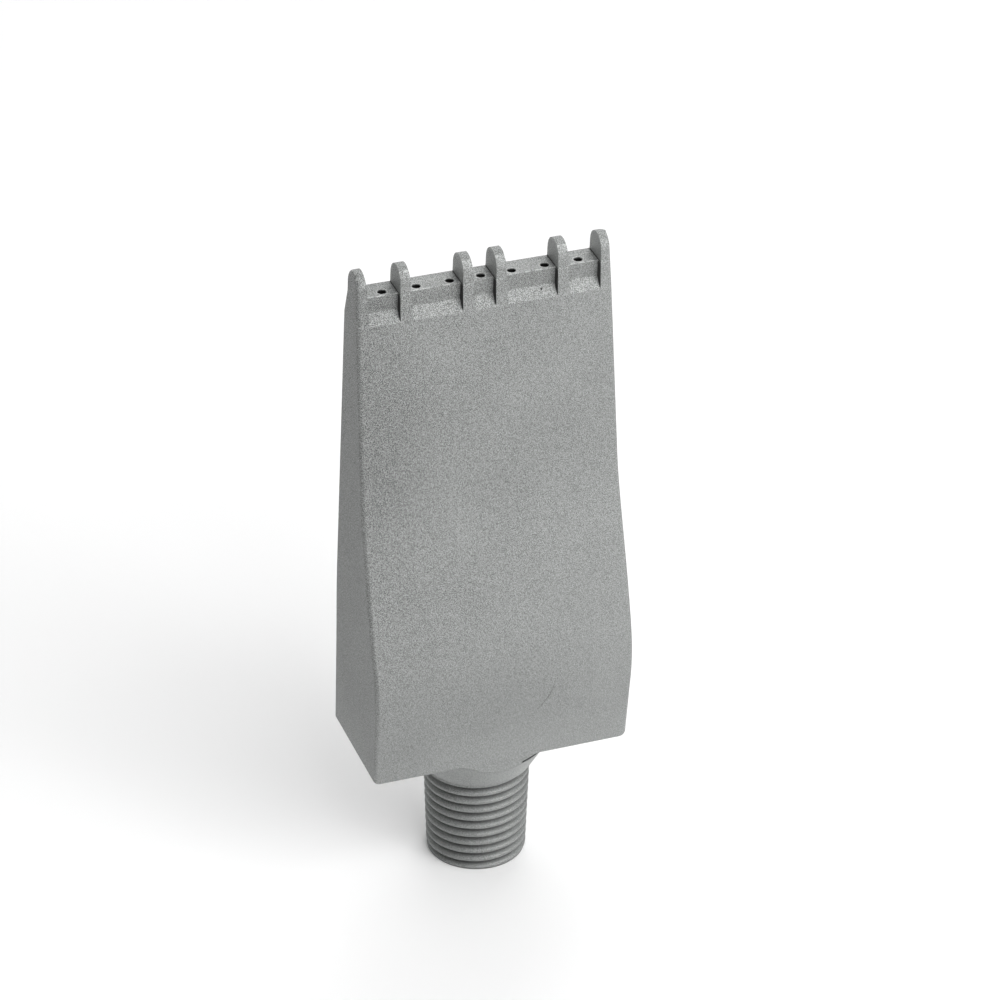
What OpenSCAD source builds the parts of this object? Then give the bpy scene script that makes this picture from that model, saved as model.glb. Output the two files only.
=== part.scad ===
// Flat air nozzle, cast in one piece, standing on the end of its threaded spigot.
// Millimetres. X runs across the width, the front face looks to -Y and the air
// leaves upwards. The origin is the centre of the spigot's end.

/* [Spigot] */
// Outside diameter of the pipe thread, over its crests
thread_d = 9.728; // [9:0.1:11]
// Length of the threaded stretch, up to the neck
thread_l = 10; // [8:0.1:12]
// Chamfer at the end of the thread
thread_chamfer = 0.5; // [0.2:0.1:0.9]
// Diameter of the air inlet
inlet_d = 5.5; // [4:0.1:6.5]
// Depth of the straight air inlet
inlet_l = 17; // [15:0.5:20]

/* [Neck] */
// Height of the neck between the thread and the body
neck_h = 3.8; // [3:0.1:6]
// Diameter of the neck's rim above the thread
neck_low_d = 10.8; // [10.2:0.1:12]
// Diameter to which the neck flares at the body
neck_high_d = 15.4; // [14:0.1:17]
// Share of the flare that is a rounded lip just above the rim
neck_lip = 0.6; // [0.4:0.05:0.8]

/* [Body width] */
// Width across the outlet end
tip_w = 24; // [20:0.5:32]
// Width at the widest place, in the lower half of the body
widest_w = 25.1; // [20:0.1:34]
// Width at the bottom of the body
base_w = 24.9; // [20:0.1:34]

/* [Body heights] */
// Height of the front's shoulder above the bottom of the body
shoulder_h = 10; // [8:0.2:12]
// Height of the knee, where the front face gets steeper
knee_h = 26.9; // [23:0.1:30]
// Height of the bend in the back face
back_bend_h = 11.6; // [9:0.2:18]
// Height of the widest place
widest_h = 16; // [12:0.5:20]
// Height of the front edge of the ledges
ledge_h = 45.4; // [42:0.1:50]
// Rise of the ledges towards the ridge
ledge_rise = 0.9; // [0.4:0.1:1.4]
// Height of the ridge above the front edge of the ledges
ridge_rise = 2.5; // [2:0.1:4]
// Height of the fins above the ridge
fin_rise = 2.35; // [1.8:0.05:3]

/* [Body depths from the spigot's axis] */
// Front face at the bottom
base_front = 6.75; // [6.2:0.05:8]
// Front face at the shoulder
shoulder_front = 8.05; // [7:0.05:9]
// Front face at the knee
knee_front = 3.5; // [3:0.05:5]
// Front face at the ledges
ledge_front = 1.5; // [1.2:0.05:2]
// Front wall of the ridge
ridge_front = 0.65; // [0.6:0.05:1]
// Back face at the bottom
base_back = 5; // [4.8:0.1:7]
// Back face at its bend
bend_back = 4.1; // [3.4:0.05:4.6]
// Back face at the height of the ledges, where the tip's bevel starts
ledge_back = 2.4; // [1.8:0.05:3.2]
// Back face at the ridge and the fins
tip_back = 1.65; // [1.4:0.05:2.2]

/* [Rounding] */
// Radius of the body's upright edges
edge_r = 0.4; // [0.2:0.05:0.8]
// Radius of the two bottom corners, seen from the front
corner_r = 0.55; // [0.3:0.05:1.5]
// Radius of the long bottom edges
bottom_r = 0.2; // [0.1:0.05:0.3]
// Half the height over which the shoulder is rounded
shoulder_ease = 2.7; // [1:0.1:4]
// Half the height over which the knee is eased
knee_ease = 2.4; // [1:0.1:4]
// Half the height over which the back's bend is eased
back_ease = 3; // [1:0.1:4]

/* [Outlet] */
// Thickness of a fin at the height of the ledges
fin_t = 1.15; // [0.8:0.05:1.4]
// Thickness of a fin at its top, after its draft
fin_top_t = 0.85; // [0.6:0.05:1.4]
// Distance from the middle to the inner fins
inner_fin_x = 1.55; // [1.2:0.05:2]
// Distance between an outer fin and the end fin next to it
outer_fin_gap = 2.9; // [2.6:0.05:3.2]
// Diameter of an outlet hole
hole_d = 0.8; // [0.5:0.05:1]
// Distance from a fin's face to the hole beside it, between two fins
hole_offset = 0.78; // [0.65:0.01:0.9]
// Distance from an outer fin's face to the hole beyond it
end_hole_offset = 1.25; // [0.9:0.05:1.6]

/* [Air chamber] */
// Metal left at each end of the chamber below the outlet holes
chamber_end_wall = 1.7; // [1.2:0.1:2.5]
// Depth of the chamber below the outlet holes
chamber_t = 1.5; // [1:0.1:1.8]
// Solid metal between the chamber and the top of the ridge
outlet_wall = 6; // [4:0.5:9]

/* [Hidden] */

overlap = 1;         // cuts and joins run this far past the face they cross
round_fn = 96;       // turned surfaces
hull_fn = 32;        // ends of the air chamber
corner_steps = 4;    // facets round a corner of the body
ease_steps = 3;      // facets on each side of a bend in a face
arch_steps = 6;      // facets up the fins' arch, on each side
arch_end = 80;       // angle at which the arch's flat crown starts
arch_overhang = 0.2; // how far the arch's circle reaches past the front face
neck_steps = 8;      // steps up the neck's flare
chamber_step = 0.3;  // step at the end of the inlet bore, where the chamber starts

base_z = thread_l + neck_h;
shoulder_z = base_z + shoulder_h;
knee_z = base_z + knee_h;
back_bend_z = base_z + back_bend_h;
widest_z = base_z + widest_h;
ledge_z = base_z + ledge_h;
ridge_z = ledge_z + ridge_rise;
fin_z = ridge_z + fin_rise;
chamber_z = ridge_z - outlet_wall;
chamber_w = tip_w - 2 * chamber_end_wall;
fin_draft = (fin_t - fin_top_t) / 2;

// Fins, from left to right: the end fins stand flush with the body's sides.
end_fin_x = (tip_w - fin_t) / 2;
outer_fin_x = end_fin_x - fin_t - outer_fin_gap;
fin_x = [-end_fin_x, -outer_fin_x, -inner_fin_x, inner_fin_x, outer_fin_x, end_fin_x];
right_hole_x = [
    inner_fin_x + fin_t / 2 + hole_offset,
    outer_fin_x - fin_t / 2 - hole_offset,
    outer_fin_x + fin_t / 2 + end_hole_offset
];
hole_x = concat(-right_hole_x, [0], right_hole_x);

// Slope of a face from one height and distance to the next.
function slope(z1, d1, z2, d2) = (d2 - d1) / (z2 - z1);

// What a bend adds to a face's distance above it, eased by a parabola.
function bend(z, at, ease, turn) =
    turn * (z < at - ease ? 0 : z > at + ease ? z - at : pow(z - at + ease, 2) / (4 * ease));

rise_slope = slope(base_z, base_front, shoulder_z, shoulder_front);
fall_slope = slope(shoulder_z, shoulder_front, knee_z, knee_front);
upper_slope = slope(knee_z, knee_front, ledge_z, ledge_front);
back_low_slope = slope(base_z, base_back, back_bend_z, bend_back);
back_high_slope = slope(back_bend_z, bend_back, ledge_z, ledge_back);
bevel_slope = slope(ledge_z, ledge_back, ridge_z, tip_back);
side_low_slope = slope(base_z, base_w / 2, widest_z, widest_w / 2);
side_high_slope = slope(widest_z, widest_w / 2, ledge_z, tip_w / 2);

// How far a fin's face leans in at a height, from none at the ledges.
function drafted(z) = fin_draft * (z - ledge_z) / (fin_z - ledge_z);

// Distances of the body's faces from the spigot's axis at a height.
function front(z) =
    base_front + rise_slope * (z - base_z)
    + bend(z, shoulder_z, shoulder_ease, fall_slope - rise_slope)
    + bend(z, knee_z, knee_ease, upper_slope - fall_slope);
function back(z) =
    base_back + back_low_slope * (z - base_z)
    + bend(z, back_bend_z, back_ease, back_high_slope - back_low_slope)
    + (bevel_slope - back_high_slope) * max(0, z - ledge_z)
    - bevel_slope * max(0, z - ridge_z);
function side(z) =
    base_w / 2 + side_low_slope * (z - base_z)
    + bend(z, widest_z, shoulder_ease, side_high_slope - side_low_slope)
    - side_high_slope * max(0, z - ledge_z)
    - max(0, drafted(z));

// The fins' arch is round from the back face over the top to the front face.
arch_r = (tip_back + front(fin_z) + arch_overhang) / 2;
arch_y = tip_back - arch_r;
arch_z = fin_z - arch_r;

function sorted(v) =
    len(v) < 2
        ? v
        : concat(
            sorted([for (x = v) if (x < v[0]) x]),
            [v[0]],
            sorted([for (x = v) if (x > v[0]) x])
        );

// One cross-section of the body: a rectangle with round corners, counter-clockwise
// from above.
function section(z, front, back, side) =
    let (r = min(edge_r, 0.45 * (front + back)))
    [
        for (k = [0 : 3], j = [0 : corner_steps])
            let (
                a = 90 * (k + j / corner_steps),
                x = (k == 0 || k == 3 ? 1 : -1) * (side - r),
                y = k < 2 ? back - r : r - front
            )
            [x + r * cos(a), y + r * sin(a), z]
    ];

// How far a rounding of that radius draws a face in, at a height above its start.
function drawn_in(r, h) = h < r ? r - sqrt(r * r - pow(r - h, 2)) : 0;

// Heights of the plain sections: a few across each bend.
bends = [
    [shoulder_z, shoulder_ease],
    [back_bend_z, back_ease],
    [widest_z, shoulder_ease],
    [knee_z, knee_ease]
];
heights = sorted([
    for (b = bends, i = [-ease_steps : ease_steps]) b[0] + b[1] * i / ease_steps,
    ledge_z,
    ridge_z,
    arch_z
]);

bottom_heights = sorted([for (r = [bottom_r, corner_r], a = [0 : 22.5 : 90]) r * (1 - cos(a))]);
bottom_sections = [
    for (h = bottom_heights)
        let (
            z = base_z + h,
            depth_in = drawn_in(bottom_r, h),
            width_in = drawn_in(corner_r, h)
        )
        section(z, front(z) - depth_in, back(z) - depth_in, side(z) - width_in)
];
middle_sections = [for (z = heights) section(z, front(z), back(z), side(z))];
arch_sections = [
    for (i = [1 : arch_steps])
        let (
            a = arch_end * i / arch_steps,
            z = arch_z + arch_r * sin(a),
            reach = arch_r * cos(a)
        )
        section(z, min(front(z), reach - arch_y), arch_y + reach, side(z))
];

// A skin over sections that all have the same number of points.
module loft(sections) {
    n = len(sections[0]);
    last = len(sections) - 1;
    polyhedron(
        points = [for (s = sections, p = s) p],
        faces = concat(
            [[for (j = [0 : n - 1]) j]],
            [
                for (i = [0 : last - 1], j = [0 : n - 1])
                    let (k = (j + 1) % n)
                    [i * n + j, (i + 1) * n + j, (i + 1) * n + k, i * n + k]
            ],
            [[for (j = [n - 1 : -1 : 0]) last * n + j]]
        )
    );
}

// Up to the arch of the fins: the gaps between the fins are cut out later.
module body() {
    loft(concat(bottom_sections, middle_sections, arch_sections));
}

// Radius of the neck at a share of its height: a rounded lip, then the flare.
function neck_r(share) =
    neck_low_d / 2
    + (neck_high_d - neck_low_d) / 2
    * (neck_lip * pow(share, 0.6) + (1 - neck_lip) * pow(share, 4));

// The neck flares from the round thread and is cut level with the body's front
// and back.
module neck() {
    depth = base_front + back(base_z + overlap);
    intersection() {
        rotate_extrude($fn = round_fn)
            polygon(concat(
                [[0, thread_l]],
                [
                    for (i = [0 : neck_steps])
                        let (share = pow(i / neck_steps, 2))
                        [neck_r(share), thread_l + neck_h * share]
                ],
                [[neck_high_d / 2, base_z + overlap], [0, base_z + overlap]]
            ));
        translate([-neck_high_d, -base_front, 0])
            cube([2 * neck_high_d, depth, base_z + 2 * overlap]);
    }
}

// A plain cylinder over the thread's crests.
module spigot() {
    cylinder(
        h = thread_chamfer,
        d1 = thread_d - 2 * thread_chamfer,
        d2 = thread_d,
        $fn = round_fn
    );
    translate([0, 0, thread_chamfer])
        cylinder(h = thread_l - thread_chamfer + overlap, d = thread_d, $fn = round_fn);
}

// What is cut away between two fins: the air above the ridge and, in front of
// it, the pocket down to the sloping ledge. It widens upwards by the fins' draft.
module fin_gap(from_x, to_x) {
    outside = base_front + base_back;
    ledge_slope = ledge_rise / (ledge_front - ridge_front);
    low_z = ledge_z - ledge_slope * overlap;
    high_z = fin_z + overlap;
    intersection() {
        translate([from_x - overlap, 0, 0])
            rotate([90, 0, 90])
                linear_extrude(to_x - from_x + 2 * overlap)
                    polygon([
                        [outside, ridge_z],
                        [-ridge_front, ridge_z],
                        [-ridge_front, ledge_z + ledge_rise],
                        [-ledge_front - overlap, low_z],
                        [-outside, low_z],
                        [-outside, high_z],
                        [outside, high_z]
                    ]);
        translate([0, 2 * outside, 0])
            rotate([90, 0, 0])
                linear_extrude(4 * outside)
                    polygon([
                        [from_x - drafted(low_z - overlap), low_z - overlap],
                        [to_x + drafted(low_z - overlap), low_z - overlap],
                        [to_x + drafted(high_z + overlap), high_z + overlap],
                        [from_x - drafted(high_z + overlap), high_z + overlap]
                    ]);
    }
}

module fin_gaps() {
    for (i = [0 : len(fin_x) - 2])
        fin_gap(fin_x[i] + fin_t / 2, fin_x[i + 1] - fin_t / 2);
}

// The inlet bore fans out into a flat chamber that feeds the outlet holes.
module air_passage() {
    translate([0, 0, -overlap])
        cylinder(h = inlet_l + overlap, d = inlet_d, $fn = round_fn);
    hull() {
        translate([0, 0, inlet_l - chamber_step])
            cylinder(h = chamber_step, d = inlet_d - 2 * chamber_step, $fn = hull_fn);
        for (side = [-1, 1])
            translate([side * (chamber_w - chamber_t) / 2, 0, chamber_z - chamber_t / 2])
                sphere(d = chamber_t, $fn = hull_fn);
    }
    for (x = hole_x)
        translate([x, 0, chamber_z - chamber_t / 2])
            cylinder(h = outlet_wall + chamber_t, d = hole_d, $fn = hull_fn);
}

module nozzle() {
    color([0.58, 0.59, 0.59])
        difference() {
            union() {
                spigot();
                neck();
                body();
            }
            fin_gaps();
            air_passage();
        }
}

nozzle();
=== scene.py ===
"""Flat air nozzle: a one-piece blasted casting that stands on its threaded spigot.

Shapes are drawn in millimetres in the part's own frame and brought to metres when the
casting is finished. X runs across the width, the front face looks to -Y and the air
leaves upwards.
"""

import logging
import math
from dataclasses import dataclass, field
from enum import Enum
from functools import reduce
from typing import Callable, Sequence

import bmesh
import bpy
from mathutils import Matrix, Vector


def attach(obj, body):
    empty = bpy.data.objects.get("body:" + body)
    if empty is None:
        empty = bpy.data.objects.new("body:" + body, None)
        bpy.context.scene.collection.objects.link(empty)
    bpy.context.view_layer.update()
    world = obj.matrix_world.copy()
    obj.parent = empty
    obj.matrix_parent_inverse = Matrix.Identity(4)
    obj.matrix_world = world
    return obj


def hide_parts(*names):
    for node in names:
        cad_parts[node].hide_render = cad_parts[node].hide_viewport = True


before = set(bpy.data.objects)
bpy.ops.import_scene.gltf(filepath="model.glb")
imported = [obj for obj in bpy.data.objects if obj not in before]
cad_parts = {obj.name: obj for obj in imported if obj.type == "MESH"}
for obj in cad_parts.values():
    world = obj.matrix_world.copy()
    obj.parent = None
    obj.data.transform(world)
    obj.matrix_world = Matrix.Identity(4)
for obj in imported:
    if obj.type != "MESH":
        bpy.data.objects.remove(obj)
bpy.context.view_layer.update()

LOG = logging.getLogger("flat_nozzle")
MM = 0.001
TOUCH_MM = 1e-5
SLIVER_MM = 1e-3
REACH_MM = 1.0

Pair = tuple[float, float]
Triple = tuple[float, float, float]
Socket = bpy.types.NodeSocket
Value = float | Socket


class Join(Enum):
    """How one solid is worked into another."""

    ADD = "UNION"
    CUT = "DIFFERENCE"
    KEEP = "INTERSECT"


def wrapped_sheet(around: int, along: int, place: Callable[[int, int], Vector]) -> bmesh.types.BMesh:
    """Bends a flat grid into a closed tube and caps its two ends.

    Args:
        around: Number of faces round the tube.
        along: Number of faces along the tube.
        place: Gives the place of a grid point from its column and row.

    Returns:
        The closed mesh, in millimetres.
    """
    bm = bmesh.new()
    half = 0.5
    bmesh.ops.create_grid(bm, x_segments=around, y_segments=along, size=half)
    for vert in bm.verts:
        vert.co = place(round((vert.co.x + half) * around), round((vert.co.y + half) * along))
    bmesh.ops.remove_doubles(bm, verts=bm.verts, dist=TOUCH_MM)
    bmesh.ops.holes_fill(bm, edges=bm.edges, sides=0)
    bmesh.ops.recalc_face_normals(bm, faces=bm.faces)
    return bm


def turned(profile: Sequence[Pair], steps: int = 96) -> bmesh.types.BMesh:
    """Turns a profile about the Z axis.

    Args:
        profile: Radius and height of each point, from one end of the axis to the other.
        steps: Number of faces round the axis.

    Returns:
        The closed mesh, in millimetres.
    """
    bm = bmesh.new()
    verts = [bm.verts.new((radius, 0, height)) for radius, height in profile]
    edges = [bm.edges.new(pair) for pair in zip(verts, verts[1:])]
    bmesh.ops.spin(
        bm, geom=verts + edges, cent=(0, 0, 0), axis=(0, 0, 1), angle=math.tau, steps=steps, use_merge=True
    )
    bmesh.ops.remove_doubles(bm, verts=bm.verts, dist=TOUCH_MM)
    bmesh.ops.recalc_face_normals(bm, faces=bm.faces)
    return bm


def prism(outline: Sequence[Pair], from_x: float, to_x: float) -> bmesh.types.BMesh:
    """Pulls an outline in Y and Z along X.

    Args:
        outline: The corners, as Y and Z.
        from_x: Where the prism starts.
        to_x: Where it ends.

    Returns:
        The closed mesh, in millimetres.
    """
    bm = bmesh.new()
    face = bm.faces.new([bm.verts.new((from_x, y, z)) for y, z in outline])
    pulled = bmesh.ops.extrude_face_region(bm, geom=[face], use_keep_orig=True)
    moved = [item for item in pulled["geom"] if isinstance(item, bmesh.types.BMVert)]
    bmesh.ops.translate(bm, verts=moved, vec=(to_x - from_x, 0, 0))
    bmesh.ops.recalc_face_normals(bm, faces=bm.faces)
    return bm


def as_object(bm: bmesh.types.BMesh, name: str) -> bpy.types.Object:
    """Puts a mesh into the scene as an object and frees it.

    Args:
        bm: The mesh.
        name: The object's name.

    Returns:
        The object.
    """
    mesh = bpy.data.meshes.new(name)
    bm.to_mesh(mesh)
    bm.free()
    obj = bpy.data.objects.new(name, mesh)
    bpy.context.scene.collection.objects.link(obj)
    return obj


def settle(piece: bpy.types.Object) -> None:
    """Makes what a piece's modifiers do part of its mesh.

    Args:
        piece: The piece, which keeps no modifiers.
    """
    graph = bpy.context.evaluated_depsgraph_get()
    shaped = bpy.data.meshes.new_from_object(piece.evaluated_get(graph))
    piece.modifiers.clear()
    before, piece.data = piece.data, shaped
    bpy.data.meshes.remove(before)


def work(target: bpy.types.Object, tool: bpy.types.Object, how: Join) -> None:
    """Works one solid into another and uses it up.

    Args:
        target: The solid that is kept.
        tool: The solid that is added, cut away or kept in common.
        how: Which of the three.
    """
    step = target.modifiers.new(how.name.lower(), "BOOLEAN")
    step.operation = how.value
    step.solver = "MANIFOLD"
    step.object = tool
    settle(target)
    bpy.data.objects.remove(tool, do_unlink=True)


def weld(piece: bpy.types.Object) -> None:
    """Joins points that the cuts left on top of each other, with the slivers between them.

    Args:
        piece: The piece, still in millimetres.
    """
    bm = bmesh.new()
    bm.from_mesh(piece.data)
    bmesh.ops.remove_doubles(bm, verts=bm.verts, dist=SLIVER_MM)
    bmesh.ops.dissolve_degenerate(bm, edges=bm.edges, dist=SLIVER_MM)
    bm.to_mesh(piece.data)
    bm.free()


@dataclass
class Bend:
    """A place where a face changes its slope, eased over some height."""

    height: float
    ease: float
    turn: float

    def __call__(self, z: float) -> float:
        """What the bend adds to the face's distance at a height.

        Args:
            z: The height.

        Returns:
            The distance that is added, none below the bend.
        """
        if z <= self.height - self.ease:
            return 0
        if z >= self.height + self.ease:
            return self.turn * (z - self.height)
        return self.turn * (z - self.height + self.ease) ** 2 / (4 * self.ease)


def drawn_in(radius: float, rise: float) -> float:
    """How far a rounding draws a face in, at a height above its start."""
    return radius - math.sqrt(radius**2 - (radius - rise) ** 2) if rise < radius else 0.0


@dataclass
class Body:
    """The flat body, with a rounded shoulder and a knee in its front face."""

    base_z: float = 13.8
    shoulder_z: float = 23.8
    knee_z: float = 40.7
    back_bend_z: float = 25.4
    widest_z: float = 29.8
    ledge_z: float = 59.2
    ridge_z: float = 61.7
    fin_z: float = 64.05
    base_front: float = 6.75
    shoulder_front: float = 8.05
    knee_front: float = 3.5
    ledge_front: float = 1.5
    base_back: float = 5.0
    bend_back: float = 4.1
    ledge_back: float = 2.4
    tip_back: float = 1.65
    base_side: float = 12.45
    widest_side: float = 12.55
    tip_side: float = 12.0
    fin_draft: float = 0.15
    edge_r: float = 0.4
    edge_share: float = 0.45
    corner_r: float = 0.55
    bottom_r: float = 0.2
    shoulder_ease: float = 2.7
    knee_ease: float = 2.4
    back_ease: float = 3.0
    arch_overhang: float = 0.2
    arch_turn: float = 86.0
    arch_steps: int = 14
    corner_steps: int = 5
    foot_steps: int = 6
    rows: int = 60

    def front(self, z: float) -> float:
        """Distance of the front face from the axis.

        Args:
            z: The height.

        Returns:
            The distance.
        """
        rise = (self.shoulder_front - self.base_front) / (self.shoulder_z - self.base_z)
        fall = (self.knee_front - self.shoulder_front) / (self.knee_z - self.shoulder_z)
        upper = (self.ledge_front - self.knee_front) / (self.ledge_z - self.knee_z)
        shoulder = Bend(self.shoulder_z, self.shoulder_ease, fall - rise)
        knee = Bend(self.knee_z, self.knee_ease, upper - fall)
        return self.base_front + rise * (z - self.base_z) + shoulder(z) + knee(z)

    def back(self, z: float) -> float:
        """Distance of the back face from the axis.

        Args:
            z: The height.

        Returns:
            The distance.
        """
        low = (self.bend_back - self.base_back) / (self.back_bend_z - self.base_z)
        high = (self.ledge_back - self.bend_back) / (self.ledge_z - self.back_bend_z)
        bevel = (self.tip_back - self.ledge_back) / (self.ridge_z - self.ledge_z)
        plain = self.base_back + low * (z - self.base_z)
        plain += Bend(self.back_bend_z, self.back_ease, high - low)(z)
        return plain + (bevel - high) * max(0.0, z - self.ledge_z) - bevel * max(0.0, z - self.ridge_z)

    def side(self, z: float) -> float:
        """Half the body's width.

        Args:
            z: The height.

        Returns:
            The half width.
        """
        low = (self.widest_side - self.base_side) / (self.widest_z - self.base_z)
        high = (self.tip_side - self.widest_side) / (self.ledge_z - self.widest_z)
        plain = self.base_side + low * (z - self.base_z)
        plain += Bend(self.widest_z, self.shoulder_ease, high - low)(z)
        return plain - high * max(0.0, z - self.ledge_z) - max(0.0, self.drafted(z))

    def drafted(self, z: float) -> float:
        """How far a fin's face leans in at a height, from none at the ledges."""
        return self.fin_draft * (z - self.ledge_z) / (self.fin_z - self.ledge_z)

    def arch(self) -> Triple:
        """Radius of the arch over the fins, and where its middle is in Y and Z."""
        radius = (self.tip_back + self.front(self.fin_z) + self.arch_overhang) / 2
        return radius, self.tip_back - radius, self.fin_z - radius

    def sections(self) -> list[tuple[float, float, float, float]]:
        """Works out the sections that the body is drawn through.

        Returns:
            Height, front, back and half width of each section, from the bottom up.
        """
        found = []
        turns = [math.radians(90 * step / self.foot_steps) for step in range(self.foot_steps + 1)]
        bends = (self.bottom_r, self.corner_r)
        digits = 5
        rises = {round(radius * (1 - math.cos(turn)), digits) for radius in bends for turn in turns}
        for rise in sorted(rises):
            z = self.base_z + rise
            deep = drawn_in(self.bottom_r, rise)
            side = self.side(z) - drawn_in(self.corner_r, rise)
            found.append((z, self.front(z) - deep, self.back(z) - deep, side))
        arch_r, arch_y, arch_z = self.arch()
        low = found[-1][0]
        heights = {low + (arch_z - low) * row / self.rows for row in range(1, self.rows + 1)}
        for z in sorted(heights | {self.ledge_z, self.ridge_z}):
            found.append((z, self.front(z), self.back(z), self.side(z)))
        for step in range(1, self.arch_steps + 1):
            turn = math.radians(self.arch_turn * step / self.arch_steps)
            z = arch_z + arch_r * math.sin(turn)
            reach = arch_r * math.cos(turn)
            front = min(self.front(z), reach - arch_y)
            found.append((z, front, arch_y + reach, self.side(z)))
        return found

    def build(self) -> bpy.types.Object:
        """Draws the whole block, up to the arch that the fins keep.

        Returns:
            The block.
        """
        sections = self.sections()
        quarter = self.corner_steps + 1
        around = 4 * quarter

        def place(column: int, row: int) -> Vector:
            """Puts a point on a section with round corners.

            Args:
                column: Which point of the section, counted round it.
                row: Which section, counted from the bottom.

            Returns:
                The place.
            """
            z, front, back, side = sections[row]
            column %= around
            corner, step = divmod(column, quarter)
            radius = min(self.edge_r, self.edge_share * (front + back))
            turn = math.radians(90 * (corner + step / self.corner_steps))
            x = (side - radius) * (1 if corner in (0, 3) else -1)
            y = back - radius if corner < 2 else radius - front
            return Vector((x + radius * math.cos(turn), y + radius * math.sin(turn), z))

        return as_object(wrapped_sheet(around, len(sections) - 1, place), "flat_nozzle")


@dataclass
class Outlet:
    """Fins, ridge, ledges and the row of small holes at the tip."""

    body: Body
    fin_t: float = 1.15
    inner_fin_x: float = 1.55
    outer_fin_x: float = 7.375
    ridge_front: float = 0.65
    ledge_rise: float = 0.9
    far: float = 12.0
    edge_r: float = 0.12
    crown_r: float = 0.4
    edge_low: float = 0.5
    crown_low: float = 0.8
    edge_turn: float = 32.0
    edge_steps: int = 3
    flat_turn: float = 0.05
    same_place: float = 1e-4
    hole_r: float = 0.4
    hole_x: tuple[float, ...] = (0.0, 2.905, 6.02, 9.2)
    hole_depth: float = 6.5
    hole_chamfer: float = 0.06
    hole_sides: int = 32

    def gaps(self) -> list[Pair]:
        """Finds the gaps between the fins.

        Returns:
            Where each gap starts and ends in X, from the left.
        """
        end_x = self.body.tip_side - self.fin_t / 2
        fins = [-end_x, -self.outer_fin_x, -self.inner_fin_x, self.inner_fin_x, self.outer_fin_x, end_x]
        return [(left + self.fin_t / 2, right - self.fin_t / 2) for left, right in zip(fins, fins[1:])]

    def slope(self) -> float:
        """How much a ledge falls for each millimetre forwards."""
        return self.ledge_rise / (self.body.ledge_front - self.ridge_front)

    def cut(self, casting: bpy.types.Object) -> None:
        """Cuts the gaps, softens the edges that they leave and drills the holes.

        Args:
            casting: The block that is cut.
        """
        body = self.body
        foot = body.ledge_z - self.slope() * REACH_MM
        outline = (
            (self.far, body.ridge_z),
            (-self.ridge_front, body.ridge_z),
            (-self.ridge_front, body.ledge_z + self.ledge_rise),
            (-body.ledge_front - REACH_MM, foot),
            (-self.far, foot),
            (-self.far, body.fin_z + REACH_MM),
            (self.far, body.fin_z + REACH_MM),
        )
        for index, (from_x, to_x) in enumerate(self.gaps()):
            gap = prism(outline, from_x, to_x)
            for vert in gap.verts:
                wider = body.drafted(vert.co.z)
                vert.co.x += wider if vert.co.x > (from_x + to_x) / 2 else -wider
            work(casting, as_object(gap, f"gap_{index}"), Join.CUT)
        self.soften(casting)
        top = body.ridge_z + self.hole_chamfer / 2
        foot = body.ridge_z - self.hole_depth
        profile = (
            (0, foot),
            (self.hole_r, foot),
            (self.hole_r, body.ridge_z - self.hole_chamfer / 2),
            (self.hole_r + self.hole_chamfer, top),
            (0, top),
        )
        for x in sorted({side * x for x in self.hole_x for side in (-1, 1)}):
            drill = turned(profile, self.hole_sides)
            bmesh.ops.translate(drill, verts=drill.verts, vec=(x, 0, 0))
            work(casting, as_object(drill, "drill"), Join.CUT)

    def soften(self, casting: bpy.types.Object) -> None:
        """Rounds the outer edges of the fins, the ridge and the ledges.

        Args:
            casting: The block, after its gaps are cut.
        """
        bm = bmesh.new()
        bm.from_mesh(casting.data)
        bmesh.ops.remove_doubles(bm, verts=bm.verts, dist=self.same_place)
        flat = math.radians(self.flat_turn)
        bmesh.ops.dissolve_limit(bm, angle_limit=flat, verts=bm.verts, edges=bm.edges)
        share = bm.edges.layers.float.new("bevel_weight_edge")
        low = self.body.ledge_z - self.edge_low
        crown = self.body.ridge_z + self.crown_low
        for edge in bm.edges:
            heights = [vert.co.z for vert in edge.verts]
            if len(edge.link_faces) != 2 or not edge.is_convex or min(heights) < low:
                continue
            if edge.calc_face_angle(0) < math.radians(self.edge_turn):
                continue
            edge[share] = 1.0 if min(heights) > crown else self.edge_r / self.crown_r
        bm.to_mesh(casting.data)
        bm.free()
        rounding = casting.modifiers.new("rounding", "BEVEL")
        rounding.limit_method = "WEIGHT"
        rounding.width = self.crown_r
        rounding.segments = self.edge_steps
        rounding.use_clamp_overlap = True
        settle(casting)


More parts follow.
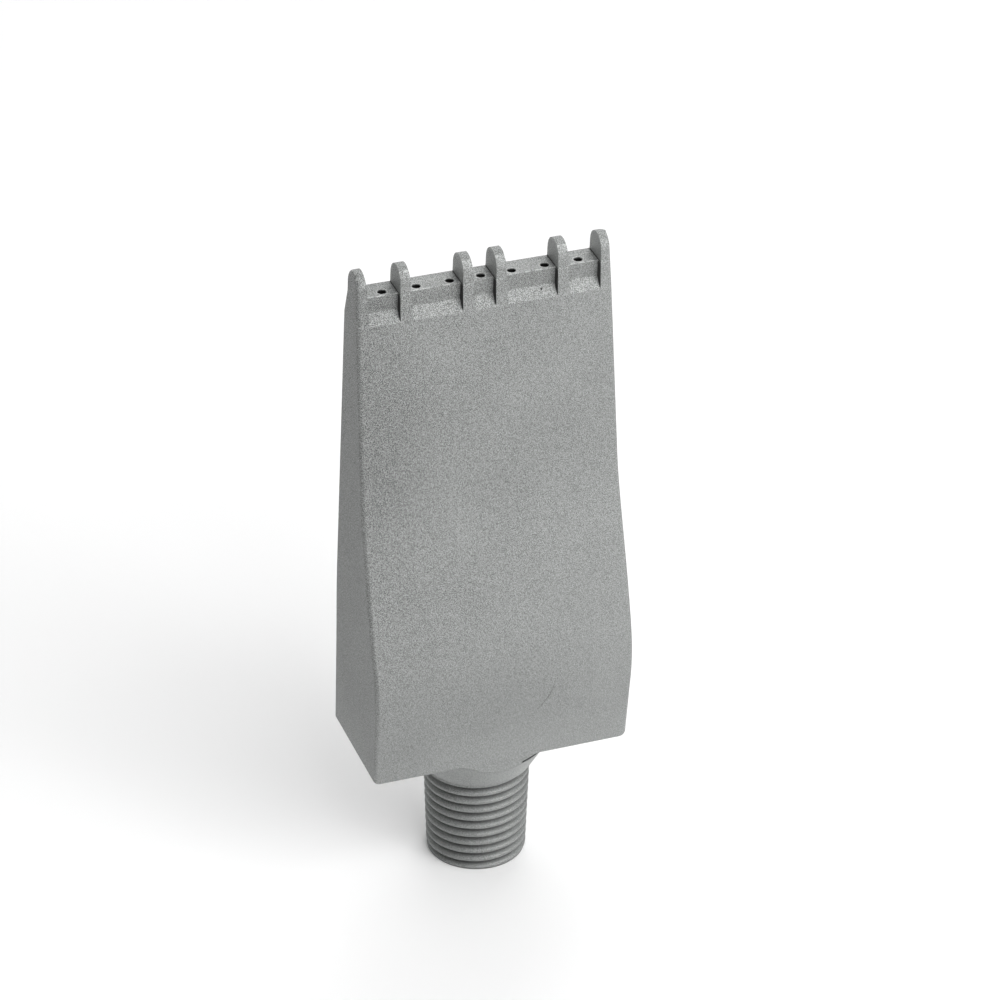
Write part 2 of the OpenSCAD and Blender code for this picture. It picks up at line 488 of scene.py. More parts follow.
@dataclass
class Neck:
    """The flare between the thread and the body, cut level with its front and back."""

    body: Body
    low_z: float = 10.0
    low_r: float = 5.3
    high_r: float = 7.65
    rim_r: float = 0.12
    spread: float = 0.12
    spread_power: int = 6
    box_size: float = 40.0
    steps: int = 18

    def radius(self, share: float) -> float:
        """Radius of the neck at a share of its height: a cone that spreads at the body."""
        bent = (1 - self.spread) * share + self.spread * share**self.spread_power
        return self.low_r + (self.high_r - self.low_r) * bent

    def build(self) -> bpy.types.Object:
        """Draws the flare, level with the body's faces.

        Returns:
            The neck, which reaches up into the body.
        """
        body = self.body
        height = body.base_z - self.low_z
        top = body.base_z + REACH_MM
        profile = [(0.0, self.low_z), (self.low_r - self.rim_r, self.low_z)]
        for step in range(self.steps + 1):
            share = (step / self.steps) ** 2
            z = self.low_z + self.rim_r + (height - self.rim_r) * share
            profile.append((self.radius(share), z))
        profile += [(self.high_r, top), (0.0, top)]
        flare = as_object(turned(profile), "neck")
        box = bmesh.new()
        bmesh.ops.create_cube(box, size=1)
        back = body.back(top)
        bmesh.ops.scale(box, verts=box.verts, vec=(self.box_size, body.base_front + back, self.box_size))
        middle = Vector((0, (back - body.base_front) / 2, body.base_z))
        bmesh.ops.translate(box, verts=box.verts, vec=middle)
        work(flare, as_object(box, "neck_box"), Join.KEEP)
        return flare


@dataclass
class Spigot:
    """The cast pipe thread, with its crests and roots worn round by the blasting."""

    crest_r: float = 4.864
    gauge_z: float = 4.0
    taper: float = 1 / 32
    depth: float = 0.52
    pitch: float = 0.965
    length: float = 10.0
    overlap: float = 1.2
    tucked: float = 0.5
    end_round: float = 0.3
    end_share: float = 0.35
    groove_power: float = 1.7
    crest_z: float = 7.92
    crest_turn: float = math.radians(-110.3)
    columns: int = 128
    rows_per_pitch: int = 20

    def radius(self, turn: float, z: float) -> float:
        """Radius of the thread.

        Args:
            turn: The direction from the axis.
            z: The height.

        Returns:
            The radius, drawn in above the thread where the neck covers it.
        """
        if z > self.length:
            return self.crest_r - self.tucked
        phase = (z - self.crest_z) / self.pitch - (turn - self.crest_turn) / math.tau
        crest = self.crest_r + self.taper * (z - self.gauge_z)
        groove = (0.5 - 0.5 * math.cos(math.tau * phase)) ** self.groove_power
        end = max(0.0, 1 - z / self.end_round)
        return crest - self.depth * groove * (1 - end) - self.end_share * self.end_round * end**2

    def build(self) -> bpy.types.Object:
        """Draws the thread as one closed piece.

        Returns:
            The thread, which reaches up into the neck.
        """
        top = self.length + self.overlap
        rows = round(top / self.pitch * self.rows_per_pitch)

        def place(column: int, row: int) -> Vector:
            """Puts a point on the thread.

            Args:
                column: Which point, counted round the axis.
                row: Which row, counted from the bottom.

            Returns:
                The place.
            """
            turn = math.tau * (column % self.columns) / self.columns
            z = top * row / rows
            radius = self.radius(turn, z)
            return Vector((radius * math.cos(turn), radius * math.sin(turn), z))

        return as_object(wrapped_sheet(self.columns, rows, place), "spigot")


@dataclass
class AirPassage:
    """The round inlet and the flat chamber that feeds the outlet holes."""

    inlet_r: float = 2.75
    inlet_depth: float = 17.0
    inlet_chamfer: float = 0.3
    chamber_inset: float = 0.3
    chamber_sides: int = 32
    chamber_side: float = 9.55
    chamber_r: float = 0.75
    chamber_z: float = 55.7

    def cut(self, casting: bpy.types.Object) -> None:
        """Bores the inlet and hollows the chamber.

        Args:
            casting: The casting, with its spigot.
        """
        profile = (
            (0, -REACH_MM),
            (self.inlet_r + self.inlet_chamfer + REACH_MM, -REACH_MM),
            (self.inlet_r, self.inlet_chamfer),
            (self.inlet_r, self.inlet_depth),
            (0, self.inlet_depth),
        )
        work(casting, as_object(turned(profile), "inlet"), Join.CUT)
        work(casting, as_object(self.chamber(), "chamber"), Join.CUT)

    def chamber(self) -> bmesh.types.BMesh:
        """Spans the chamber from the end of the inlet to two round ends at the tip.

        Returns:
            The closed mesh, in millimetres.
        """
        bm = bmesh.new()
        start = Matrix.Translation((0, 0, self.inlet_depth - self.chamber_inset))
        mouth_r = self.inlet_r - self.chamber_inset
        bmesh.ops.create_circle(bm, segments=self.chamber_sides, radius=mouth_r, matrix=start)
        for side in (-1, 1):
            end = Matrix.Translation((side * self.chamber_side, 0, self.chamber_z - self.chamber_r))
            bmesh.ops.create_icosphere(bm, subdivisions=2, radius=self.chamber_r, matrix=end)
        hull = bmesh.ops.convex_hull(bm, input=bm.verts)
        inside = {item for item in hull["geom_interior"] + hull["geom_unused"] if item.is_valid}
        loose = [item for item in inside if isinstance(item, bmesh.types.BMVert)]
        bmesh.ops.delete(bm, geom=loose, context="VERTS")
        skin = {item for item in hull["geom"] if isinstance(item, bmesh.types.BMFace) and item.is_valid}
        bmesh.ops.delete(bm, geom=[face for face in bm.faces if face not in skin], context="FACES_ONLY")
        bmesh.ops.recalc_face_normals(bm, faces=bm.faces)
        return bm


class NodeDesk:
    """Places and wires shader nodes in one tree."""

    def __init__(self, tree: bpy.types.NodeTree) -> None:
        """Starts from an empty tree."""
        self.tree = tree
        tree.nodes.clear()

    def put(self, kind: str, inputs: dict | None = None, **settings: object) -> bpy.types.Node:
        """Adds a node.

        Args:
            kind: The node's type.
            inputs: Values or output sockets by the name or number of the input.
            settings: The node's own options.

        Returns:
            The node.
        """
        node = self.tree.nodes.new(kind)
        for name, value in settings.items():
            setattr(node, name, value)
        for name, value in (inputs or {}).items():
            socket = node.inputs[name]
            if isinstance(value, Socket):
                self.tree.links.new(value, socket)
            else:
                socket.default_value = value
        return node

    def math(self, operation: str, *values: Value) -> Socket:
        """A sum on values or sockets."""
        return self.put("ShaderNodeMath", dict(enumerate(values)), operation=operation).outputs[0]

    def times(self, *values: Value) -> Socket:
        """All the values multiplied together."""
        return reduce(lambda one, other: self.math("MULTIPLY", one, other), values)

    def most(self, *values: Value) -> Socket:
        """The largest of the values."""
        return reduce(lambda one, other: self.math("MAXIMUM", one, other), values)

    def length(self, one: Value, other: Value) -> Socket:
        """The length of a step that goes so far in two directions."""
        square = self.math("MULTIPLY", other, other)
        return self.math("SQRT", self.math("MULTIPLY_ADD", one, one, square))

    def ramp(self, value: Value, low: float, high: float, start: float = 0.0, end: float = 1.0) -> Socket:
        """A soft step from one value to another."""
        inputs = {"Value": value, "From Min": low, "From Max": high, "To Min": start, "To Max": end}
        return self.put("ShaderNodeMapRange", inputs, interpolation_type="SMOOTHSTEP").outputs["Result"]

    def fade(self, value: Value, full: float, none: float) -> Socket:
        """One up to a value, and nothing from another value on."""
        return self.ramp(value, full, none, 1.0, 0.0)

    def band(self, value: Value, middle: float, full: float, none: float) -> Socket:
        """One within a distance of a value, and nothing from another distance on."""
        return self.fade(self.math("ABSOLUTE", self.math("SUBTRACT", value, middle)), full, none)


@dataclass
class Spot:
    """The place on the casting that is being shaded, in millimetres."""

    desk: NodeDesk
    x: Socket
    y: Socket
    z: Socket


@dataclass(frozen=True)
class Scratch:
    """A faint arc scratched low on the front face."""

    middle: Pair = (-0.4, 23.2)
    radius: float = 5.27
    line: Pair = (0.02, 0.09)
    start_x: Pair = (2.6, 3.2)
    height: float = 20.8
    reach: Pair = (1.0, 1.7)
    front: Pair = (-7.2, -7.0)

    def mask(self, spot: Spot) -> Socket:
        """Finds the scratch.

        Args:
            spot: The place.

        Returns:
            One on the scratch.
        """
        desk = spot.desk
        off_x, off_z = (desk.math("SUBTRACT", *pair) for pair in zip((spot.x, spot.z), self.middle))
        arc = desk.band(desk.length(off_x, off_z), self.radius, *self.line)
        height = desk.band(spot.z, self.height, *self.reach)
        return desk.times(arc, desk.ramp(spot.x, *self.start_x), height, desk.fade(spot.y, *self.front))


@dataclass(frozen=True)
class Pit:
    """A small dark pit on one of the ledges."""

    x: float = 5.41
    z: float = 59.83
    reach_x: Pair = (0.05, 0.09)
    reach_z: Pair = (0.05, 0.1)

    def mask(self, spot: Spot, ledge: Socket) -> Socket:
        """Finds the pit.

        Args:
            spot: The place.
            ledge: The mask of the ledges.

        Returns:
            One in the pit.
        """
        desk = spot.desk
        across = desk.band(spot.x, self.x, *self.reach_x)
        return desk.times(across, ledge, desk.band(spot.z, self.z, *self.reach_z))


@dataclass(frozen=True)
class UndercutShade:
    """Painted shade at the right of the neck's front edge: a narrow black mark that stands in for the shadow
    in an undercut there.
    """

    spread: float = 0.853
    start: float = 4.12
    line: Pair = (0.08, 0.15)
    x: float = 3.1
    reach_x: Pair = (0.9, 1.1)
    z: float = 13.4
    reach_z: Pair = (0.4, 0.44)
    front: Pair = (-6.35, -6.25)

    def mask(self, spot: Spot) -> Socket:
        """Finds the painted shade of the undercut.

        Args:
            spot: The place.

        Returns:
            One in the painted shade.
        """
        desk = spot.desk
        cone = desk.math("MULTIPLY_ADD", spot.z, -self.spread, self.start)
        off = desk.math("ADD", desk.length(spot.x, spot.y), cone)
        return desk.times(
            desk.band(off, 0.0, *self.line),
            desk.band(spot.x, self.x, *self.reach_x),
            desk.fade(spot.y, *self.front),
            desk.band(spot.z, self.z, *self.reach_z),
        )


@dataclass(frozen=True)
class TipMasks:
    """Where the parts of the tip are, as masks with soft edges."""

    body: Body
    outlet: Outlet
    hole_edge: Pair = (0.01, 0.05)
    hole_top: Pair = (0.16, 0.06)
    hole_foot: float = 0.2
    rim_off: float = 0.08
    rim_line: Pair = (0.03, 0.08)
    rim_level: Pair = (0.08, 0.12)
    ledge_skin: Pair = (0.05, 0.16)
    ledge_foot: float = 0.2
    fin_skin: Pair = (0.03, 0.11)
    fin_foot: float = 0.3
    fin_front: Pair = (0.06, 0.14)
    fin_top: Pair = (0.15, 0.05)
    corner_line: Pair = (0.03, 0.1)
    corner_depth: float = 0.2
    corner_front: float = 0.1
    arch_skin: Pair = (0.12, 0.3)
    arch_low: float = 0.3
    top_skin: Pair = (0.05, 0.12)
    top_end: Pair = (0.3, 0.15)
    edge_highlight_line: Pair = (0.05, 0.12)
    wall_skin: Pair = (0.04, 0.1)
    wall_drop: float = 0.85
    wall_reach: Pair = (0.65, 0.8)

    def holes(self, spot: Spot) -> tuple[Socket, Socket]:
        """Finds the outlet holes.

        Args:
            spot: The place.

        Returns:
            The masks of the painted shade inside the holes and of the bright rims.
        """
        desk, outlet, top = spot.desk, self.outlet, self.body.ridge_z
        across = desk.math("ABSOLUTE", spot.x)
        away = [desk.length(desk.math("SUBTRACT", across, x), spot.y) for x in outlet.hole_x]
        edge = [outlet.hole_r + off for off in self.hole_edge]
        inside = desk.most(*(desk.fade(off, *edge) for off in away))
        rim = desk.most(*(desk.band(off, outlet.hole_r + self.rim_off, *self.rim_line) for off in away))
        below = desk.fade(spot.z, *(top - drop for drop in self.hole_top))
        foot = top - outlet.hole_depth
        below = desk.times(below, desk.ramp(spot.z, foot - self.hole_foot, foot))
        return desk.times(inside, below), desk.times(rim, desk.band(spot.z, top, *self.rim_level))

    def ledges(self, spot: Spot) -> Socket:
        """Finds the sloping ledges in front of the ridge.

        Args:
            spot: The place.

        Returns:
            One on a ledge.
        """
        desk, body, outlet = spot.desk, self.body, self.outlet
        fall = outlet.slope()
        foot = body.ledge_z + outlet.ledge_rise + fall * outlet.ridge_front
        above = desk.math("SUBTRACT", desk.math("SUBTRACT", spot.z, foot), desk.times(spot.y, fall))
        ledge = desk.band(above, 0.0, *self.ledge_skin)
        return desk.times(ledge, desk.ramp(spot.z, body.ledge_z - self.ledge_foot, body.ledge_z))

    def fins(self, spot: Spot) -> tuple[Socket, Socket]:
        """Finds the left faces of the fins.

        Args:
            spot: The place.

        Returns:
            The masks of the faces, which are painted lighter, and of the painted shade in the corners at
            their feet.
        """
        desk, body, outlet = spot.desk, self.body, self.outlet
        lean = body.fin_draft / (body.fin_z - body.ledge_z)
        upright = desk.math("MULTIPLY_ADD", spot.z, -lean, lean * body.ledge_z)
        upright = desk.math("ADD", upright, spot.x)
        face = desk.most(*(desk.band(upright, to_x, *self.fin_skin) for _, to_x in outlet.gaps()))
        foot = desk.band(spot.z, body.ridge_z, *self.corner_line)
        below = desk.fade(spot.z, body.ridge_z - self.corner_depth, body.ridge_z)
        ahead = desk.fade(spot.y, -outlet.ridge_front, self.corner_front - outlet.ridge_front)
        slope = (body.knee_front - body.ledge_front) / (body.ledge_z - body.knee_z)
        behind = desk.math("MULTIPLY_ADD", spot.z, -slope, body.ledge_front + slope * body.ledge_z)
        behind = desk.ramp(desk.math("ADD", behind, spot.y), *self.fin_front)
        above = desk.ramp(spot.z, body.ledge_z - self.fin_foot, body.ledge_z)
        top = desk.ramp(spot.z, *(body.ridge_z - drop for drop in self.fin_top))
        face = desk.times(face, desk.times(behind, above), desk.most(ahead, top))
        return face, desk.times(face, desk.most(foot, desk.times(below, ahead)))

    def tops(self, spot: Spot) -> Socket:
        """Finds the top of the ridge and the arched tops of the fins.

        Args:
            spot: The place.

        Returns:
            One on a top.
        """
        desk, body = spot.desk, self.body
        radius, middle_y, middle_z = body.arch()
        off_y = desk.math("SUBTRACT", spot.y, middle_y)
        off_z = desk.math("SUBTRACT", spot.z, middle_z)
        arch = desk.band(desk.length(off_y, off_z), radius, *self.arch_skin)
        arch = desk.times(arch, desk.ramp(off_z, 0.0, self.arch_low))
        across = desk.math("ABSOLUTE", spot.x)
        within = desk.fade(across, *(body.tip_side - inset for inset in self.top_end))
        return desk.most(arch, desk.times(desk.band(spot.z, body.ridge_z, *self.top_skin), within))

    def edge_highlight(self, spot: Spot) -> Socket:
        """One along the front edge of the ridge, where a painted highlight is laid."""
        return spot.desk.band(spot.y, -self.outlet.ridge_front, *self.edge_highlight_line)

    def wall(self, spot: Spot) -> Socket:
        """One on the front of the ridge, between the ledges and its top, where painted shade darkens it."""
        face = spot.desk.band(spot.y, -self.outlet.ridge_front, *self.wall_skin)
        return spot.desk.times(
            face, spot.desk.band(spot.z, self.body.ridge_z - self.wall_drop, *self.wall_reach)
        )


@dataclass(frozen=True)
class BodyMasks:
    """Where the parts of the body, the neck and the thread are, as masks with soft edges."""

    body: Body
    spigot: Spigot
    neck_z: float = 11.8
    neck_reach: Pair = (1.2, 2.0)
    neck_front: float = 0.5
    neck_front_share: float = 0.3
    bottom_reach: Pair = (1.0, 5.0)
    bottom_edge: float = 0.05
    side_edge: Pair = (0.1, 0.4)
    left_x: Pair = (-11.0, -3.0)
    left_z: Pair = (20.0, 45.0)
    groove_share: float = 0.2
    bore_wall: Pair = (3.6, 3.8)
    thread_top: float = 0.1
    thread_shade_x: float = -0.4
    thread_shade_reach: Pair = (1.5, 4.6)
    thread_shade_share: float = 0.5
    thread_least_shade: float = 0.1
    end_edge_shade: Pair = (0.08, 0.22)
    end_share: float = 0.6

    def neck(self, spot: Spot) -> Socket:
        """Finds the neck, with less of its front, which is level with the body; the neck is painted lighter
        as light on its downward-facing flare.

        Args:
            spot: The place.

        Returns:
            One on the neck.
        """
        desk, front = spot.desk, self.body.base_front
        behind = desk.ramp(spot.y, -front, self.neck_front - front, self.neck_front_share, 1.0)
        return desk.times(desk.band(spot.z, self.neck_z, *self.neck_reach), behind)

    def low(self, spot: Spot) -> Socket:
        """One at the body's foot and nothing from the knee up."""
        return spot.desk.fade(spot.z, self.body.base_z, self.body.knee_z)

    def bottom(self, spot: Spot) -> Socket:
        """Finds the lowest stretch of the body, which is painted lighter as light from the floor.

        Args:
            spot: The place.

        Returns:
            One close above the body's lower edge.
        """
        desk, base = spot.desk, self.body.base_z
        close = desk.fade(spot.z, *(base + rise for rise in self.bottom_reach))
        return desk.times(close, desk.ramp(spot.z, base - self.bottom_edge, base + self.bottom_edge))

    def left(self, spot: Spot) -> Socket:
        """Finds the left of the faces, away from the narrow side itself, which is painted darker as shade.

        Args:
            spot: The place.

        Returns:
            One at the left and high up.
        """
        desk, body = spot.desk, self.body
        lean = (body.widest_side - body.tip_side) / (body.ledge_z - body.widest_z)
        within = desk.math("MULTIPLY_ADD", spot.z, -lean, body.widest_side + lean * body.widest_z)
        inner = desk.ramp(desk.math("ADD", within, spot.x), *self.side_edge)
        return desk.times(inner, desk.fade(spot.x, *self.left_x), desk.ramp(spot.z, *self.left_z))

    def thread(self, spot: Spot) -> Socket:
        """Finds the grooves of the thread and the edge at its end, which are painted darker as shade.

        Args:
            spot: The place.

        Returns:
            More the deeper the painted shade is.
        """
        desk, spigot = spot.desk, self.spigot
        radius = desk.length(spot.x, spot.y)
        crest = spigot.crest_r - spigot.taper * spigot.gauge_z
        depth = desk.math("SUBTRACT", desk.math("MULTIPLY_ADD", spot.z, spigot.taper, crest), radius)
        # painted shade in the grooves is strongest near the middle in X and fades towards the sides
        dark = desk.band(spot.x, self.thread_shade_x, *self.thread_shade_reach)
        groove = desk.times(
            desk.ramp(depth, self.groove_share * spigot.depth, spigot.depth),
            desk.ramp(radius, *self.bore_wall),
            desk.fade(spot.z, spigot.length, spigot.length + self.thread_top),
            desk.math("MULTIPLY_ADD", dark, self.thread_shade_share, self.thread_least_shade),
        )
        return desk.most(groove, desk.times(desk.fade(spot.z, *self.end_edge_shade), self.end_share))


def grain_group() -> bpy.types.NodeTree:
    """Builds the grain of a blasted surface, as a value about a half.

    Returns:
        The group of nodes.
    """
    tree = bpy.data.node_groups.new("blasted_grain", "ShaderNodeTree")
    for name, kind, into in (
        ("Place", "NodeSocketVector", "INPUT"),
        ("Size", "NodeSocketFloat", "INPUT"),
        ("Grain", "NodeSocketFloat", "OUTPUT"),
    ):
        tree.interface.new_socket(name, in_out=into, socket_type=kind)
    desk = NodeDesk(tree)
    given = desk.put("NodeGroupInput").outputs
    scale = desk.math("DIVIDE", 1.0, given["Size"])
    inputs = {"Vector": given["Place"], "Scale": scale, "Detail": 2.0, "Roughness": 0.6}
    noise = desk.put("ShaderNodeTexNoise", inputs, noise_dimensions="3D")
    desk.put("NodeGroupOutput", {"Grain": noise.outputs["Fac"]})
    return tree


@dataclass(frozen=True)
class BlastedCasting:
    """Bare grey metal, blasted all over to an even matt grain, with painted light and painted shade in its
    colour.
    """

    dark: Triple = (0.097, 0.100, 0.098)
    light: Triple = (0.398, 0.409, 0.402)
    shade_and_pit_tone: Triple = (0.012, 0.012, 0.012)
    roughness: float = 0.6
    metallic: float = 0.5
    grain_turn: Triple = (0.6, 0.7, 0.8)
    grain_mm: float = 0.07
    grain_range: Pair = (0.36, 0.64)
    grain_contrast: float = 0.92
    contrast_across: float = -0.008
    contrast_low: float = -0.3
    grain_height: float = 0.016
    coarse_mm: float = 0.085
    coarse_range: Pair = (0.38, 0.62)
    cloud_scale: float = 0.13
    cloud_tone: float = 0.18
    speck_scale: float = 2.2
    speck_range: Pair = (0.4, 0.6)
    crease_shade: float = 0.85
    low_bounce_light_tone: float = 0.05
    bottom_bounce_light_tone: float = 0.07
    neck_light_tone: float = 0.18
    ledge_light_tone: float = 0.13
    top_light_tone: float = 0.14
    wall_shade_tone: float = -0.05
    left_shade_tone: float = -0.09
    fin_face_light_tone: float = 0.2
    rightward_light_tone: float = 0.0036
    rim_tone: float = 0.4
    edge_highlight_tone: float = 0.6
    scratch_tone: float = -0.26
    scratch: Scratch = Scratch()
    pit: Pit = Pit()
    undercut_shade: UndercutShade = UndercutShade()

    def mix(self, desk: NodeDesk, share: Socket, one: object, other: object, **settings: object) -> Socket:
        """Blends two colours.

        Args:
            desk: Where the node is placed.
            share: How much of the second colour there is.
            one: The first colour or its socket.
            other: The second colour.
            settings: The node's own options.

        Returns:
            The blend.
        """
        inputs = {0: share, 6: one, 7: other}
        return desk.put("ShaderNodeMix", inputs, data_type="RGBA", **settings).outputs[2]

    def material(self, body: Body, outlet: Outlet, spigot: Spigot) -> bpy.types.Material:
        """Makes the metal, with coarser grain on what looks upwards and with painted light and painted shade
        in its colour.

        Args:
            body: Gives the heights of the tip.
            outlet: Gives its fins, ledges and holes.
            spigot: Gives the thread.

        Returns:
            The material.
        """
        metal = bpy.data.materials.new("blasted_casting")
        metal.use_nodes = True
        desk = NodeDesk(metal.node_tree)
        place = desk.put("ShaderNodeTexCoord").outputs["Object"]
        per_mm = {"Vector": place, "Scale": (1 / MM, 1 / MM, 1 / MM)}
        place = desk.put("ShaderNodeMapping", per_mm).outputs[0]
        spot = Spot(desk, *desk.put("ShaderNodeSeparateXYZ", {"Vector": place}).outputs)
        tilted = desk.put("ShaderNodeMapping", {"Vector": place, "Rotation": self.grain_turn}).outputs[0]
        group = grain_group()
        fine, coarse = (
            desk.put("ShaderNodeGroup", {"Place": tilted, "Size": size}, node_tree=group).outputs["Grain"]
            for size in (self.grain_mm, self.coarse_mm)
        )
        cloud, speck = (
            desk.put("ShaderNodeTexNoise", {"Vector": tilted, "Scale": scale, "Detail": detail}).outputs[0]
            for scale, detail in ((self.cloud_scale, 3.0), (self.speck_scale, 2.0))
        )

        tip = TipMasks(body, outlet)
        trunk = BodyMasks(body, spigot)
        ledge = tip.ledges(spot)
        # inside: painted shade, the deep bores of the holes painted near black
        inside, rim = tip.holes(spot)
        # crease: painted shade in the corners at the fins' feet, mixed towards near black
        fin, crease = tip.fins(spot)
        top = tip.tops(spot)
        rough = desk.most(ledge, top)
        # painted highlight along the ridge's front edge, broken by specks
        edge_highlight = desk.times(desk.ramp(speck, *self.speck_range), top, tip.edge_highlight(spot))
        low = trunk.low(spot)

        calm = desk.math("MULTIPLY_ADD", spot.x, self.contrast_across, self.grain_contrast)
        calm = desk.math("MULTIPLY_ADD", low, self.contrast_low, calm)
        tone = desk.math("SUBTRACT", desk.ramp(fine, *self.grain_range), 0.5)
        tone = desk.math("MULTIPLY_ADD", tone, calm, 0.5)
        grains = {0: rough, 2: tone, 3: desk.ramp(coarse, *self.coarse_range)}
        tone = desk.put("ShaderNodeMix", grains, data_type="FLOAT").outputs[0]
        tone = desk.math("MULTIPLY_ADD", desk.math("SUBTRACT", cloud, 0.5), self.cloud_tone, tone)
        for mask, more in (
            # painted light from the floor: lighter towards the body's foot, more so just above its lower
            # edge
            (low, self.low_bounce_light_tone),
            (trunk.bottom(spot), self.bottom_bounce_light_tone),
            # painted light on the neck's flare
            (trunk.neck(spot), self.neck_light_tone),
            # painted light on the upward-facing ledges
            (ledge, self.ledge_light_tone),
            # painted light on the ridge top and the fins' arched tops
            (top, self.top_light_tone),
            # painted shade on the ridge's front wall
            (tip.wall(spot), self.wall_shade_tone),
            # painted shade: the left of the faces is darker
            (trunk.left(spot), self.left_shade_tone),
            # painted light: the left faces of the fins are painted lighter
            (fin, self.fin_face_light_tone),
            # painted light: lighter towards the right in X
            (spot.x, self.rightward_light_tone),
            (rim, self.rim_tone),
            (edge_highlight, self.edge_highlight_tone),
            (self.scratch.mask(spot), self.scratch_tone),
        ):
            tone = desk.math("MULTIPLY_ADD", mask, more, tone)
        metal_tone = self.mix(desk, tone, (*self.dark, 1), (*self.light, 1), clamp_factor=False)
        # mixed towards near black: painted shade in the holes, the fins' corners, the thread and the
        # undercut, and the real dark pit
        pit_and_undercut_shade = desk.most(self.pit.mask(spot, ledge), self.undercut_shade.mask(spot))
        shade = desk.most(inside, pit_and_undercut_shade, desk.times(crease, self.crease_shade), trunk.thread(spot))
        colour = self.mix(desk, shade, metal_tone, (*self.shade_and_pit_tone, 1))
        height = desk.math("MULTIPLY_ADD", coarse, rough, fine)
        relief = {"Strength": 1.0, "Distance": self.grain_height * MM, "Height": height}
        bump = desk.put("ShaderNodeBump", relief).outputs["Normal"]
        skin = {"Base Color": colour, "Roughness": self.roughness, "Metallic": self.metallic, "Normal": bump}
        shader = desk.put("ShaderNodeBsdfPrincipled", skin)
        desk.put("ShaderNodeOutputMaterial", {"Surface": shader.outputs[0]})
        return metal


@dataclass
class FlatNozzle:
    """The whole casting."""

    body: Body = field(default_factory=Body)
    spigot: Spigot = field(default_factory=Spigot)
    passage: AirPassage = field(default_factory=AirPassage)
    finish: BlastedCasting = field(default_factory=BlastedCasting)
    crisp_turn: float = 38.0
    level_mm: float = 0.02
    even_weight: int = 60

    def build(self) -> bpy.types.Object:
        """Builds the casting and hands it to the frame.

        Returns:
            The finished piece.
        """
        outlet = Outlet(self.body)
        casting = self.body.build()
        outlet.cut(casting)
        LOG.info("body and outlet: %d faces", len(casting.data.polygons))
        work(casting, Neck(self.body).build(), Join.ADD)
        work(casting, self.spigot.build(), Join.ADD)
        self.passage.cut(casting)
        weld(casting)
        casting.data.transform(Matrix.Scale(MM, 4))
        self.smooth(casting)
        casting.data.materials.clear()
        casting.data.materials.append(self.finish.material(self.body, outlet, self.spigot))
        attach(casting, "root")
        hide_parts("nozzle")
        LOG.info("casting: %d faces", len(casting.data.polygons))
        return casting

    def smooth(self, casting: bpy.types.Object) -> None:
        """Shades the rounded places smoothly and keeps the corners crisp.

        Args:
            casting: The finished shape, in metres.
        """
        mesh = casting.data
        mesh.polygons.foreach_set("use_smooth", [True] * len(mesh.polygons))
        mesh.set_sharp_from_angle(angle=math.radians(self.crisp_turn))
        for edge in mesh.edges:
            ends = [mesh.vertices[index].co / MM for index in edge.vertices]
            for turn_z in (self.body.ledge_z, self.body.ridge_z):
                if all(end.y > 0 and abs(end.z - turn_z) < self.level_mm for end in ends):
                    edge.use_edge_sharp = True
        even = casting.modifiers.new("even_normals", "WEIGHTED_NORMAL")
        even.keep_sharp = True
        even.weight = self.even_weight


@dataclass(frozen=True)
class Lamp:
    """A soft square lamp that looks at the nozzle, in metres and watts."""

    name: str
    place: Triple
    size: float
    power: float
    aim: Triple = (0.0, 0.0, 0.035)

    def hang(self) -> None:
        """Puts the lamp into the scene."""
        light = bpy.data.lights.new(self.name, "AREA")
        light.size = self.size
        light.energy = self.power
        lamp = bpy.data.objects.new(self.name, light)
        away = Vector(self.place) - Vector(self.aim)
        lamp.location = self.place
        lamp.rotation_euler = away.to_track_quat("Z", "Y").to_euler()
        bpy.context.scene.collection.objects.link(lamp)


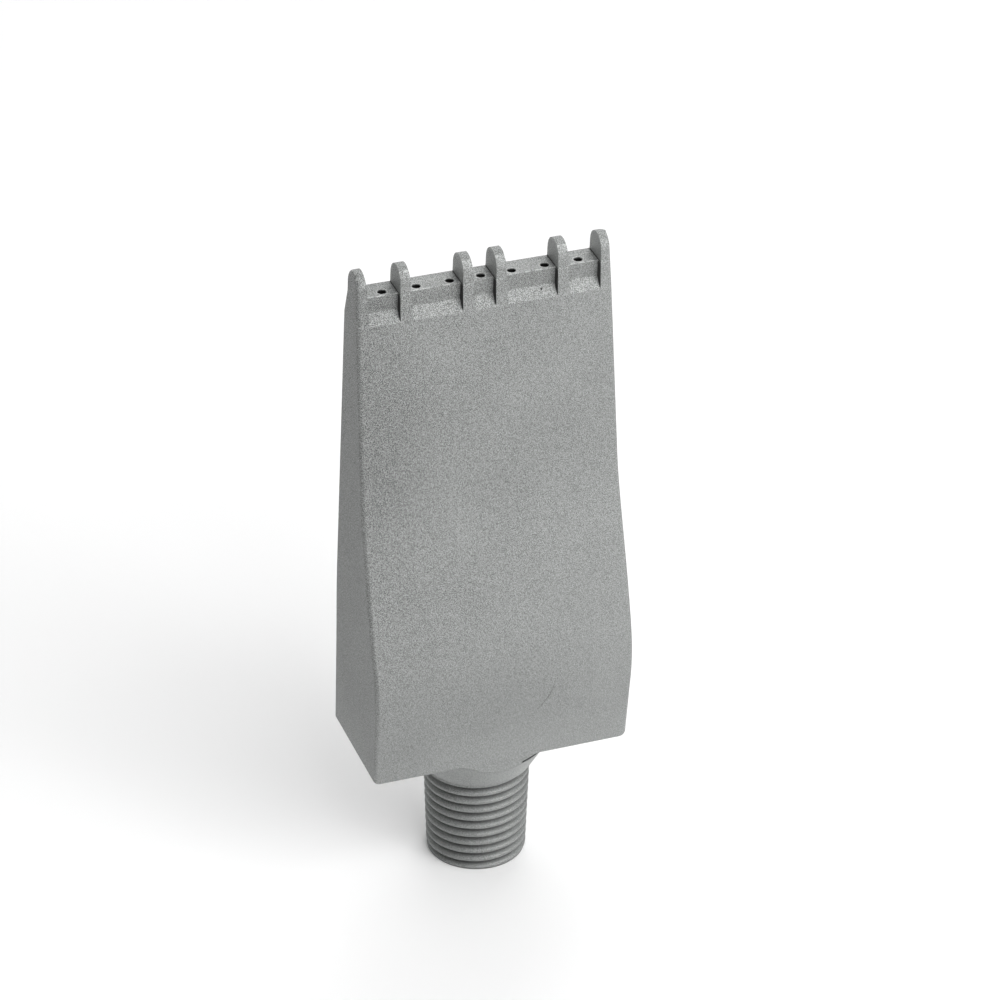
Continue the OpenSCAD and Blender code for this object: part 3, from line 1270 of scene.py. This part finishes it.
@dataclass
class Studio:
    """A pale table, soft light and the camera, whose place is in millimetres."""

    yaw: float = 20.26
    elevation: float = 31.79
    roll: float = 0.67
    distance: float = 395.84
    target: Triple = (2.08, 0.0, 37.93)
    focal_px: float = 4333.5
    frame_px: float = 1000.0
    sensor_mm: float = 36.0
    nearest_m: float = 0.01
    table_m: float = 3.0
    table_tone: Triple = (0.93, 0.93, 0.93)
    table_roughness: float = 0.8
    table_glow: float = 0.025
    wall_glow: float = 1.12
    sky_glow: float = 0.03
    lamps: tuple[Lamp, ...] = (
        Lamp("key", (0.25, -1.0, 0.85), 1.0, 8.9),
        Lamp("key_right", (0.6, -0.85, 0.95), 2.4, 16.4),
        Lamp("near", (0.22, -0.22, 0.22), 0.2, 0.37),
        Lamp("top", (0.15, 0.1, 1.3), 1.0, 1.8),
        Lamp("back", (0.5, 0.9, 0.9), 0.8, 4.7),
    )

    def build(self) -> None:
        """Lays the table, lights it and sets the camera."""
        self.table()
        self.room()
        for lamp in self.lamps:
            lamp.hang()
        self.camera()
        bpy.context.scene.view_settings.view_transform = "Standard"

    def table(self) -> None:
        """Lays a wide plain floor under the spigot."""
        bm = bmesh.new()
        bmesh.ops.create_grid(bm, x_segments=1, y_segments=1, size=self.table_m)
        table = as_object(bm, "table")
        paint = bpy.data.materials.new("pale_table")
        paint.use_nodes = True
        desk = NodeDesk(paint.node_tree)
        glow = {"Emission Color": (1, 1, 1, 1), "Emission Strength": self.table_glow}
        paper = {"Base Color": (*self.table_tone, 1), "Roughness": self.table_roughness, **glow}
        shader = desk.put("ShaderNodeBsdfPrincipled", paper)
        desk.put("ShaderNodeOutputMaterial", {"Surface": shader.outputs[0]})
        table.data.materials.append(paint)

    def room(self) -> None:
        """Lights the room evenly, mostly from a pale wall at the back."""
        world = bpy.data.worlds.new("room")
        world.use_nodes = True
        desk = NodeDesk(world.node_tree)
        towards = desk.put("ShaderNodeTexCoord").outputs["Generated"]
        axes = desk.put("ShaderNodeSeparateXYZ", {"Vector": towards}).outputs
        wall = desk.times(desk.most(axes["Y"], 0.0), self.wall_glow)
        glow = desk.math("MULTIPLY_ADD", desk.most(axes["Z"], 0.0), self.sky_glow, wall)
        sky = desk.put("ShaderNodeBackground", {"Color": (1, 1, 1, 1), "Strength": glow})
        desk.put("ShaderNodeOutputWorld", {"Surface": sky.outputs[0]})
        bpy.context.scene.world = world

    def camera(self) -> None:
        """Looks from the front left and above, through a long lens."""
        yaw, rise, roll = (math.radians(angle) for angle in (self.yaw, self.elevation, self.roll))
        back = Vector((-math.sin(yaw) * math.cos(rise), -math.cos(yaw) * math.cos(rise), math.sin(rise)))
        right = (-back).cross(Vector((0, 0, 1))).normalized()
        up = right.cross(-back)
        across = math.cos(roll) * right + math.sin(roll) * up
        upright = math.cos(roll) * up - math.sin(roll) * right
        lens = bpy.data.cameras.new("camera")
        lens.sensor_width = self.sensor_mm
        lens.lens = self.sensor_mm * self.focal_px / self.frame_px
        lens.clip_start = self.nearest_m
        camera = bpy.data.objects.new("camera", lens)
        turn = Matrix((across, upright, back)).transposed().to_4x4()
        camera.matrix_world = Matrix.Translation((Vector(self.target) + self.distance * back) * MM) @ turn
        bpy.context.scene.collection.objects.link(camera)
        bpy.context.scene.camera = camera


def main() -> None:
    """Builds the nozzle and its studio."""
    logging.basicConfig(level=logging.INFO, format="%(name)s: %(message)s")
    nozzle = FlatNozzle().build()
    LOG.info("built %s", nozzle.name)
    Studio().build()
    LOG.info("built the studio")


if __name__ == "__main__":
    main()
